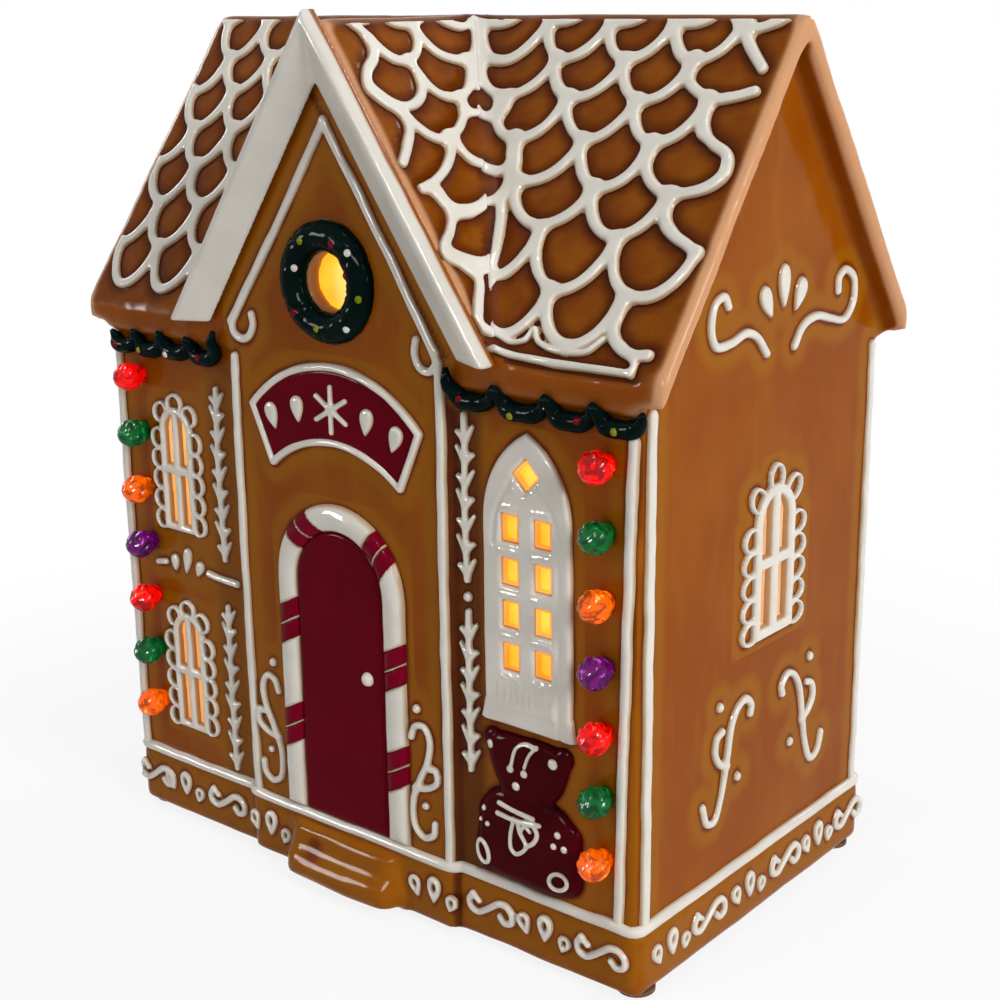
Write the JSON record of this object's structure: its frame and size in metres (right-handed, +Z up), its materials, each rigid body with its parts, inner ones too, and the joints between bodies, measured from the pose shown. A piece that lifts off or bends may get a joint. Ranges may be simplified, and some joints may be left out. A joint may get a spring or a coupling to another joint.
{
  "type": "lighted ceramic village house",
  "caption": "Glazed ceramic gingerbread house with piped icing relief, an arched door, a front gable, twist bulbs up both corners and a battery light module in its base.",
  "frame": {"origin": "under the middle of the outline seen from above, on the plane of the felt pads' undersides", "axes": "+Z up, -Y out of the front with the door, +X to the right seen from the front"},
  "size_m": [0.2052, 0.1284, 0.242],
  "materials": {
    "gingerbread_glaze": "high gloss brown glaze over a textured casting, thin and golden on edges",
    "icing_glaze": "gloss warm white glaze on raised piping",
    "maroon_glaze": "high gloss dark red glaze",
    "pine_glaze": "high gloss near-black green glaze with coloured dots",
    "bear_glaze": "high gloss dark maroon brown glaze",
    "window_film": "translucent amber film, lit from behind",
    "bulb_red": "clear coloured moulding",
    "bulb_green": "clear coloured moulding",
    "bulb_orange": "clear coloured moulding",
    "bulb_purple": "clear coloured moulding",
    "module_plastic": "fine satin moulding",
    "switch_plastic": "satin black",
    "cell_jacket": "plain metallic jacket",
    "contact_metal": "bright nickel plate",
    "board_laminate": "solder-masked laminate",
    "lamp_lens": "clear epoxy, lit",
    "lead_jacket": "satin",
    "felt": "short felt nap"
  },
  "bodies": {
    "house": {"house_shell": "gingerbread_glaze", "bargeboards": "icing_glaze", "roof_icing_front_right": "icing_glaze", "roof_icing_front_left": "icing_glaze", "gable_icing_right": "icing_glaze", "gable_icing_left": "icing_glaze", "roof_icing_back": "icing_glaze", "front_icing": "icing_glaze", "side_icing_right": "icing_glaze", "side_icing_left": "icing_glaze", "back_icing": "icing_glaze", "base_line_icing": "icing_glaze", "plinth_icing": "icing_glaze", "door_panel": "maroon_glaze", "door_surround": "icing_glaze", "door_stripes": "maroon_glaze", "door_knob": "icing_glaze", "sign_plaque": "maroon_glaze", "sign_border": "icing_glaze", "sign_ornament": "icing_glaze", "wreath": "pine_glaze", "garland_left": "pine_glaze", "garland_right": "pine_glaze", "bear": "bear_glaze", "bear_icing": "icing_glaze", "tall_window_frame": "icing_glaze", "upper_window_frame": "icing_glaze", "lower_window_frame": "icing_glaze", "side_window_frame_right": "icing_glaze", "side_window_frame_left": "icing_glaze", "tall_window_film": "window_film", "round_window_film": "window_film", "upper_window_film": "window_film", "lower_window_film": "window_film", "side_window_film_right": "window_film", "side_window_film_left": "window_film", "bulb_left_1": "bulb_orange", "bulb_left_2": "bulb_green", "bulb_left_3": "bulb_red", "bulb_left_4": "bulb_purple", "bulb_left_5": "bulb_orange", "bulb_left_6": "bulb_green", "bulb_left_7": "bulb_red", "bulb_right_1": "bulb_orange", "bulb_right_2": "bulb_green", "bulb_right_3": "bulb_red", "bulb_right_4": "bulb_purple", "bulb_right_5": "bulb_orange", "bulb_right_6": "bulb_green", "bulb_right_7": "bulb_red", "light_tray": "module_plastic", "batteries": "cell_jacket", "contact_plates": "contact_metal", "contact_springs": "contact_metal", "circuit_board": "board_laminate", "led_lamps": "lamp_lens", "lamp_leads": "lead_jacket", "felt_pads": "felt"},
    "battery_door": {"battery_door": "module_plastic"},
    "power_switch": {"power_switch": "switch_plastic"}
  },
  "joints": [
    {"name": "battery_door_hinge", "type": "hinge", "parent": "house", "child": "battery_door", "pos_m": [0, 0.0332, 0.0062], "axis": [1, 0, 0], "range_deg": [0, 85]},
    {"name": "power_switch_slide", "type": "slide", "parent": "house", "child": "power_switch", "axis": [1, 0, 0], "range_m": [0, 0.004]}
  ]
}
